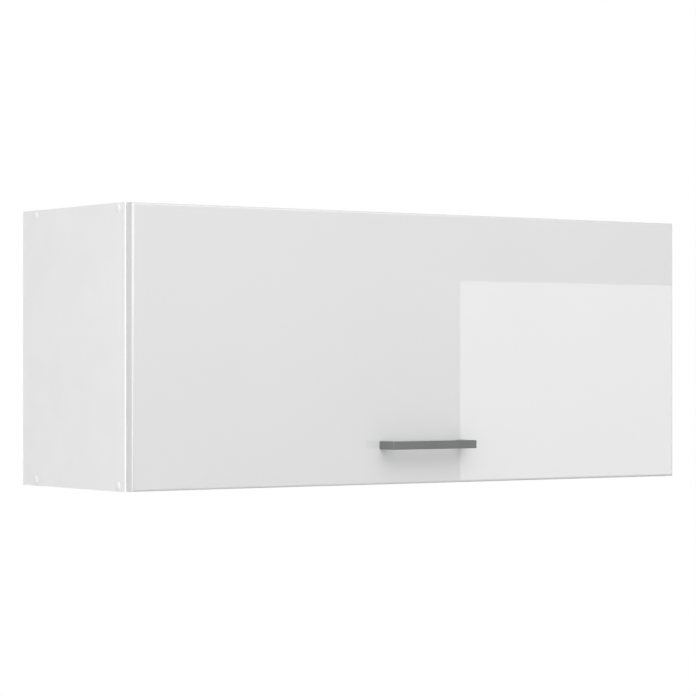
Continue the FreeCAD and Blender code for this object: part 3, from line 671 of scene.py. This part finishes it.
def board_skin(node, face_axes):
    """A board: finish 0 on the outer faces across face_axes, 1 where it is sawn or bored."""
    low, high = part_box(node)
    skin = merged(node)
    for face in skin.faces:
        outside = any(on_plane(face, axis, (low[axis], high[axis])) for axis in face_axes)
        face.material_index = 0 if outside else 1

    def at_a_limit(corner, axis):
        return any(abs(corner.co[axis] - place) < ON_PLANE for place in (low[axis], high[axis]))

    def outline(edge):
        return sum(all(at_a_limit(corner, axis) for corner in edge.verts) for axis in range(3)) >= 2

    break_edges(skin, bpy.context.scene.cabinet_boards.broken_edge, wanted=outline)
    return skin


class CABINET_OT_boards(bpy.types.Operator):
    """Make the four melamine boards of the carcass, sawn chipboard where they were cut"""
    bl_idname = "cabinet.boards"
    bl_label = "Boards"

    def execute(self, context):
        for node in pair("side_panel"):
            make_piece(node + "_finished", board_skin(node, (0, 2)), [node],
                       ["melamine", "chipboard"])
        for node in ("top_panel", "bottom_panel"):
            make_piece(node + "_finished", board_skin(node, (2,)), [node],
                       ["melamine", "chipboard"])
        return {"FINISHED"}


class CABINET_OT_edge_bands(bpy.types.Operator):
    """Make the four bands on the carcass's front edges"""
    bl_idname = "cabinet.edge_bands"
    bl_label = "Edge bands"

    def execute(self, context):
        low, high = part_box("edge_bands")
        top_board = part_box("top_panel")[0]
        side, shelf = top_board.x - low.x, high.z - top_board.z     # thickness of the boards
        upright = [(low.x, low.z, low.x + side, high.z), (high.x - side, low.z, high.x, high.z)]
        level = [(low.x + side, low.z, high.x - side, low.z + shelf),
                 (low.x + side, high.z - shelf, high.x - side, high.z)]
        skin = bmesh.new()
        for left, base, right, top in upright + level:
            strip = block((left, low.y, base), (right, high.y, top))
            length = max(right - left, top - base)
            long_corners = [edge for edge in edges_on_plane(strip, 1, low.y)
                            if edge.calc_length() > length - ON_PLANE]
            round_edges(strip, long_corners, context.scene.cabinet_boards.band_round, 6)
            add_skin(skin, strip)
        make_piece("edge_bands_finished", skin, ["edge_bands"], ["band"])
        return {"FINISHED"}


class CABINET_OT_back(bpy.types.Operator):
    """Make the hardboard back: lacquered inside, bare brown fibre behind"""
    bl_idname = "cabinet.back"
    bl_label = "Back board"

    def execute(self, context):
        skin = merged("back_panel")
        for face in skin.faces:
            face.material_index = 0 if face.normal.y < -0.9 else 1
        break_edges(skin, context.scene.cabinet_boards.broken_edge)
        make_piece("back_panel_finished", skin, ["back_panel"],
                   ["hardboard", "bare hardboard"])
        return {"FINISHED"}


# ---- Flap and handle ----

class CABINET_OT_flap(bpy.types.Operator):
    """Make the lift up front: gloss outside and round its edges, satin inside"""
    bl_idname = "cabinet.flap"
    bl_label = "Flap"

    def execute(self, context):
        skin = block(flap_low, flap_high)
        flap = context.scene.cabinet_flap
        round_edges(skin, edges_on_plane(skin, 1, flap_low.y), flap.edge_round, FLAP_EDGE_STEPS)
        round_edges(skin, edges_on_plane(skin, 1, flap_high.y), flap.rear_round, 3)
        cutters = []
        for node in ("hinge_cup_screws", "stay_bracket_screws", "handle_screws"):
            for screw in spindles_of(node):
                radius = screw.radius * screw_nodes[node].shank_share + LOOSE
                cutters.append(drill(screw.start, screw.direction, radius, screw.length + LOOSE))
        for node in pair("hinge_cup"):
            low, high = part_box(node)
            mouth = (low + high) / 2
            mouth.y = flap_high.y
            radius = (high.z - low.z) / 2 - cup_rim + LOOSE
            depth = flap_high.y - low.y + 3 * LOOSE
            cutters.append(drill(mouth, Vector((0, -1, 0)), radius, depth))
        skin = carved(skin, cutters)
        for face in skin.faces:
            middle = face.calc_center_median()
            off_the_rim = all(flap_low[axis] + MM < middle[axis] < flap_high[axis] - MM
                              for axis in (0, 2))
            looks_forward = face.normal.y < -0.1
            if on_plane(face, 1, (flap_high.y,)):
                face.material_index = 1
            elif off_the_rim and not looks_forward:
                face.material_index = 2
        make_piece("flap_panel_finished", skin, ["flap_panel"],
                   ["gloss", "inner melamine", "fibreboard"])
        return {"FINISHED"}


class CABINET_OT_handle(bpy.types.Operator):
    """Make the square bar handle and its two legs as one casting"""
    bl_idname = "cabinet.handle"
    bl_label = "Handle"

    def execute(self, context):
        section = handle_high.z - handle_low.z
        left, right = handle_low.x, handle_high.x
        front, seat = handle_low.y, handle_high.y
        plan = [(left, seat), (left, front), (right, front), (right, seat), (right - section, seat),
                (right - section, front + section), (left + section, front + section),
                (left + section, seat)]
        skin = lofted([[(x, y, level) for x, y in plan] for level in (handle_low.z, handle_high.z)])

        def off_the_flap(edge):
            return not all(abs(corner.co.y - seat) < ON_PLANE for corner in edge.verts)

        break_edges(skin, context.scene.cabinet_handle.edge_round, 4, off_the_flap)
        make_piece("handle_finished", skin, ["handle"], ["paint"])
        return {"FINISHED"}


# ---- Screws, caps, dowels and pads ----

def cross_cutters(depth, reach, width):
    """The two bars of a cross recess, cut into a head that points up from its top at 0."""
    return [block((-x / 2, -y / 2, -MM), (x / 2, y / 2, depth))
            for x, y in ((reach, width), (width, reach))]


def pan_screw(radius, length, head_height, shank):
    """A pan-head screw with a cross recess, from the top of its head at 0 up to its tip."""
    crown, shoulder = radius * 0.72, head_height * 0.55
    tip = 3.0 * MM
    skin = turned([(0, 0, 0), (crown, 0, 0), (radius, shoulder, radius * 0.3),
                   (radius, head_height, 0.2 * MM), (shank, head_height, 0), (shank, length - tip, 0),
                   (0, length, 0)])
    return carved(skin, cross_cutters(depth=head_height * 0.75, reach=radius * 1.05,
                                      width=radius * 0.28))


def flat_screw(radius, length, head_height, shank):
    """A flat-headed machine screw with a cross recess."""
    edge, chamfer, end = 0.35 * MM, shank * 0.4, shank * 0.7
    skin = turned([(0, 0, 0), (radius, 0, edge), (radius, head_height, edge / 2),
                   (shank, head_height, 0), (shank, length - chamfer, 0), (end, length, 0),
                   (0, length, 0)])
    return carved(skin, cross_cutters(depth=head_height * 0.7, reach=radius * 1.1,
                                      width=radius * 0.26))


class ScrewKind:
    """A node of like screws: its maker, and the head's height and the shank as shares of the head."""

    def __init__(self, maker, head_share, shank_share):
        self.maker = maker
        self.head_share = head_share
        self.shank_share = shank_share


wood = ScrewKind(pan_screw, 0.59, 0.5)
screw_nodes = {
    "hanger_fixings": wood,
    "hinge_plate_screws": wood,
    "hinge_cup_screws": wood,
    "stay_screws": wood,
    "stay_bracket_screws": wood,
    "hanger_screws": ScrewKind(flat_screw, 0.61, 0.61),
    "hinge_arm_screws": ScrewKind(flat_screw, 0.47, 0.52),
    "handle_screws": ScrewKind(flat_screw, 0.52, 0.47),
    "lever_screw_left": ScrewKind(flat_screw, 0.52, 0.4),
    "lever_screw_right": ScrewKind(flat_screw, 0.52, 0.4),
}


class CABINET_OT_screws(bpy.types.Operator):
    """Make the wood screws and machine screws with their cross recesses"""
    bl_idname = "cabinet.screws"
    bl_label = "Screws"

    def execute(self, context):
        for node, kind in screw_nodes.items():
            spindles = spindles_of(node)
            one = spindles[0]
            shape = kind.maker(one.radius, one.length, one.radius * kind.head_share,
                               one.radius * kind.shank_share)
            make_piece(node + "_finished", repeat(shape, spindles), [node],
                       ["zinc"])
        return {"FINISHED"}


class CABINET_OT_carcass_screws(bpy.types.Operator):
    """Make the long carcass screws with their hexagon sockets"""
    bl_idname = "cabinet.carcass_screws"
    bl_label = "Carcass screws"

    def execute(self, context):
        spindles = spindles_of("carcass_screws")
        one = spindles[0]
        neck, shank, point = one.radius * 0.7, one.radius * 0.6, one.radius * 0.6 * 0.4
        head_end, neck_end, shank_start = 3.2 * MM, 13 * MM, 14 * MM
        point_start = one.length - 4 * MM
        body = turned([(0, 0, 0), (one.radius, 0, 0.3 * MM), (neck, head_end, 0), (neck, neck_end, 0),
                       (shank, shank_start, 0), (shank, point_start, 0), (point, one.length, 0),
                       (0, one.length, 0)])
        socket_radius, hexagon = 2.3 * MM, 6
        socket = lofted([circle(socket_radius, level, hexagon) for level in (-MM, head_end)])
        make_piece("carcass_screws_finished", repeat(carved(body, [socket]), spindles),
                   ["carcass_screws"], ["zinc"])
        return {"FINISHED"}


class CABINET_OT_caps(bpy.types.Operator):
    """Make the domed caps that cover the carcass screws"""
    bl_idname = "cabinet.caps"
    bl_label = "Screw caps"

    def execute(self, context):
        rise = context.scene.cabinet_fittings.cap_rise
        spindles = spindles_of("screw_caps")
        radius, plug = spindles[0].radius, spindles[0].length - rise
        crown, rim = radius * 0.62, rise - 0.35 * MM
        stem, stem_end = 0.3 * radius, 0.26 * radius
        skin = turned([(0, 0, 0), (crown, 0.12 * MM, 2.5 * MM), (radius, rim, 0.3 * MM),
                       (radius, rise, 0), (stem, rise, 0), (stem_end, rise + plug, 0.3 * MM),
                       (0, rise + plug, 0)])
        make_piece("screw_caps_finished", repeat(skin, spindles), ["screw_caps"],
                   ["white plastic"])
        return {"FINISHED"}


class CABINET_OT_dowels(bpy.types.Operator):
    """Make the fluted beech dowels"""
    bl_idname = "cabinet.dowels"
    bl_label = "Dowels"

    def execute(self, context):
        spindles = spindles_of("wood_dowels")
        radius, length = spindles[0].radius, spindles[0].length
        chamfer, end_share = 1.2 * MM, 0.82
        flutes, flute_share = 18, 0.93
        outline = [(end_share, 0), (1, chamfer), (1, length - chamfer), (end_share, length)]
        skin = lofted([circle(share * radius, level, 2 * flutes, flute_share)
                       for share, level in outline])
        make_piece("wood_dowels_finished", repeat(skin, spindles), ["wood_dowels"],
                   ["beech"])
        return {"FINISHED"}


class CABINET_OT_pads(bpy.types.Operator):
    """Make the clear domed pads that the shut flap rests on"""
    bl_idname = "cabinet.pads"
    bl_label = "Bumper pads"

    def execute(self, context):
        spindles = spindles_of("bumper_pads")
        radius, height = spindles[0].radius, spindles[0].length
        wall, dome, crown = 0.3 * height, 0.9 * height, 0.75 * radius
        skin = turned([(0, 0, 0), (radius, 0, 0), (radius, wall, 0.2 * MM), (crown, dome, MM),
                       (0, height, 0)])
        make_piece("bumper_pads_finished", repeat(skin, spindles), ["bumper_pads"],
                   ["clear"])
        return {"FINISHED"}


# ---- Hinges, stays and hangers ----

class CABINET_OT_hinges(bpy.types.Operator):
    """Finish the cup hinges: plates, arms, cups and pins"""
    bl_idname = "cabinet.hinges"
    bl_label = "Cup hinges"

    def execute(self, context):
        edge = context.scene.cabinet_fittings.pressed_edge
        finish_nodes(pair("hinge_plate", "hinge_arm", "hinge_cup", "hinge_pin"),
                     ["nickel"], edge)
        return {"FINISHED"}


class CABINET_OT_stays(bpy.types.Operator):
    """Finish the lift stays: cases, shafts, levers, links and brackets"""
    bl_idname = "cabinet.stays"
    bl_label = "Lift stays"

    def execute(self, context):
        fittings = context.scene.cabinet_fittings
        finish_nodes(pair("stay_lever", "stay_link", "stay_bracket"), ["nickel"],
                     fittings.pressed_edge)
        finish_nodes(pair("stay_base", "stay_shaft", "stay_cartridge", "lever_pin", "bracket_pin"),
                     ["zinc"], fittings.pressed_edge)
        finish_nodes(pair("stay_cover"), ["case plastic"], fittings.moulded_edge)
        return {"FINISHED"}


class CABINET_OT_hangers(bpy.types.Operator):
    """Finish the hangers and the plates on the wall that they hook on to"""
    bl_idname = "cabinet.hangers"
    bl_label = "Hangers"

    def execute(self, context):
        fittings = context.scene.cabinet_fittings
        finish_nodes(pair("hanger_housing", "hanger_cover"), ["white plastic"],
                     fittings.moulded_edge)
        finish_nodes(pair("hanger_hook", "wall_plate"), ["zinc"],
                     fittings.pressed_edge)
        return {"FINISHED"}


# ---- Studio ----

camera_spot = Vector((-2.4551, -3.6447, 0.1727))
horizon_share = 0.02915            # of the picture's width, that the horizon lies under its middle
floor_radius = 5.0
floor_fade = 0.25, 0.8             # shares of the radius between which the floor turns white
before_front = 0.57, -0.82, 0      # where the front mirrors to, seen from the camera's first spot
gloss_white = 0.35, 1.0            # the world in gloss, beside and before the front
card_y = -4.0                      # how far before the wall the mirrored card stands
card_low = 0.0725, -0.06           # the card's corners as the front shows them, across and up
card_high = 0.62, 0.3045


def place_light(light, spot, target):
    """Stand a light on its spot, facing a target, out of the camera's sight."""
    lamp = bpy.data.objects.new(light.name, light)
    lamp.location = spot
    lamp.rotation_euler = (Vector(target) - Vector(spot)).to_track_quat("-Z", "Y").to_euler()
    lamp.visible_camera = False
    bpy.context.scene.collection.objects.link(lamp)


def light_panel(name, spot, target, width, height, radiance):
    """A rectangular soft light of a given radiance."""
    light = bpy.data.lights.new(name, "AREA")
    light.shape = "RECTANGLE"
    light.size = width
    light.size_y = height
    light.energy = radiance * math.pi * width * height
    place_light(light, spot, target)


def broad_light(name, spot, strength, degrees):
    """A distant light as broad as a window wall, so that its shadows have no edge."""
    light = bpy.data.lights.new(name, "SUN")
    light.angle = math.radians(degrees)
    light.energy = strength
    place_light(light, spot, (0, 0, 0))


def floor_finish(colour):
    """A pale matt floor that turns to the background's white at its rim and is clear from below."""
    material, tree, shader, place = new_finish("Floor", Base_Color=(*colour, 1), Roughness=0.8)
    distance = add_node(tree, "ShaderNodeVectorMath", {0: place}, operation="LENGTH").outputs["Value"]
    start, end = [share * floor_radius for share in floor_fade]
    fade = add_node(tree, "ShaderNodeMapRange", {"Value": distance, "From Min": start,
                    "From Max": end}, interpolation_type="SMOOTHSTEP").outputs["Result"]
    seen = add_node(tree, "ShaderNodeLightPath").outputs["Is Camera Ray"]
    share = add_node(tree, "ShaderNodeMath", {0: fade, 1: seen}, operation="MULTIPLY").outputs[0]
    white = add_node(tree, "ShaderNodeEmission").outputs[0]
    mixed = add_node(tree, "ShaderNodeMixShader", {0: share, 1: shader.outputs[0], 2: white})
    underneath = add_node(tree, "ShaderNodeNewGeometry").outputs["Backfacing"]
    looked_through = add_node(tree, "ShaderNodeMath", {0: underneath, 1: seen},
                              operation="MULTIPLY").outputs[0]
    clear = add_node(tree, "ShaderNodeBsdfTransparent").outputs[0]
    surface = add_node(tree, "ShaderNodeMixShader",
                       {0: looked_through, 1: mixed.outputs[0], 2: clear}).outputs[0]
    tree.links.new(surface, tree.nodes["Material Output"].inputs["Surface"])
    return material


def white_world(fill):
    """Even fill light. The camera and glass see white; gloss sees white only before the front."""
    world = bpy.data.worlds.new("Studio")
    world.use_nodes = True
    tree = world.node_tree
    path = add_node(tree, "ShaderNodeLightPath").outputs
    direction = add_node(tree, "ShaderNodeTexCoord").outputs["Generated"]
    forward = add_node(tree, "ShaderNodeVectorMath", {0: direction, 1: before_front},
                       operation="DOT_PRODUCT").outputs["Value"]
    mirrored = add_node(tree, "ShaderNodeMapRange", {"Value": forward, "From Min": 0.0,
                        "From Max": 0.9, "To Min": gloss_white[0],
                        "To Max": gloss_white[1]}).outputs["Result"]
    in_gloss = add_node(tree, "ShaderNodeMix", {"Factor": path["Is Glossy Ray"], "A": fill,
                        "B": mirrored}).outputs["Result"]
    white = add_node(tree, "ShaderNodeMath", {0: path["Is Camera Ray"], 1: path["Is Transmission Ray"]},
                     operation="MAXIMUM").outputs[0]
    strength = add_node(tree, "ShaderNodeMix", {"Factor": white, "A": in_gloss, "B": 1.0})
    background = tree.nodes["Background"]
    background.inputs["Color"].default_value = (1, 1, 1, 1)
    tree.links.new(strength.outputs["Result"], background.inputs["Strength"])
    return world


def mirrored_card(radiance):
    """The pale panel that the gloss front mirrors to the camera, low on the right."""
    plane = flap_low.y
    mirrored_eye = Vector((camera_spot.x, 2 * plane - camera_spot.y, camera_spot.z))
    reach = (card_y - mirrored_eye.y) / (plane - mirrored_eye.y)
    low, high = [mirrored_eye + (Vector((across, plane, up)) - mirrored_eye) * reach
                 for across, up in (card_low, card_high)]
    middle = (low + high) / 2
    light_panel("Card", middle, middle + Vector((0, 1, 0)), high.x - low.x, high.z - low.z, radiance)


class CABINET_OT_stage(bpy.types.Operator):
    """Make the floor, the soft lights, the white background and the camera"""
    bl_idname = "cabinet.stage"
    bl_label = "Stage"

    def execute(self, context):
        scene = context.scene
        stage = scene.cabinet_stage
        disc = bmesh.new()
        bmesh.ops.create_circle(disc, cap_ends=True, segments=96, radius=floor_radius)
        floor = as_object(disc, "Floor")
        floor.data.transform(Matrix.Translation((0, 0, -stage.floor_drop)))
        floor.data.materials.append(floor_finish(stage.floor))

        broad_light("Key", spot=(-3.2, -2.8, 2.1), strength=stage.key, degrees=110)
        broad_light("Rear", spot=(1.5, 3.0, 0.9), strength=stage.rear, degrees=80)
        light_panel("Side", spot=(-1.15, -0.8, 0.3), target=(-0.5, -0.3, 0.3), width=0.6,
                    height=0.6, radiance=stage.side)
        light_panel("Top", spot=(0, -1.5, 1.1), target=(0, -0.3, 0.2), width=2.4, height=0.9,
                    radiance=stage.top)
        mirrored_card(stage.card)
        scene.world = white_world(stage.fill)

        lens = bpy.data.cameras.new("Camera")
        lens.lens = stage.lens
        lens.sensor_width = 36     # millimetres
        lens.shift_y = horizon_share
        lens.clip_end = 100
        camera = bpy.data.objects.new("Camera", lens)
        camera.location = camera_spot
        camera.rotation_euler = (math.radians(90), 0, -stage.heading)
        scene.collection.objects.link(camera)
        scene.camera = camera
        scene.view_settings.view_transform = "Standard"
        return {"FINISHED"}


# ---- Add-on ----

piece_operators = [CABINET_OT_boards, CABINET_OT_edge_bands, CABINET_OT_back, CABINET_OT_flap,
                   CABINET_OT_handle, CABINET_OT_screws, CABINET_OT_carcass_screws, CABINET_OT_caps,
                   CABINET_OT_dowels, CABINET_OT_pads, CABINET_OT_hinges, CABINET_OT_stays,
                   CABINET_OT_hangers, CABINET_OT_stage]
setting_groups = {"cabinet_boards": BoardSettings, "cabinet_flap": FlapSettings,
                  "cabinet_handle": HandleSettings, "cabinet_fittings": FittingSettings,
                  "cabinet_stage": StageSettings}


class CABINET_PT_pieces(bpy.types.Panel):
    """The cabinet's pieces, with their sizes and colours"""
    bl_idname = "CABINET_PT_pieces"
    bl_label = "Lift up wall cabinet"
    bl_space_type = "VIEW_3D"
    bl_region_type = "UI"
    bl_category = "Cabinet"

    def draw(self, context):
        for group, kind in setting_groups.items():
            column = self.layout.column(align=True)
            for setting in kind.__annotations__:
                column.prop(getattr(context.scene, group), setting)
        for kind in piece_operators:
            self.layout.operator(kind.bl_idname)


def register():
    for kind in [*setting_groups.values(), *piece_operators, CABINET_PT_pieces]:
        bpy.utils.register_class(kind)
    for name, kind in setting_groups.items():
        setattr(bpy.types.Scene, name, PointerProperty(type=kind))


def unregister():
    for name in setting_groups:
        delattr(bpy.types.Scene, name)
    for kind in [CABINET_PT_pieces, *reversed(piece_operators), *setting_groups.values()]:
        bpy.utils.unregister_class(kind)


def main():
    register()
    for kind in piece_operators:
        group, name = kind.bl_idname.split(".")
        getattr(getattr(bpy.ops, group), name)()


if __name__ == "__main__":
    main()
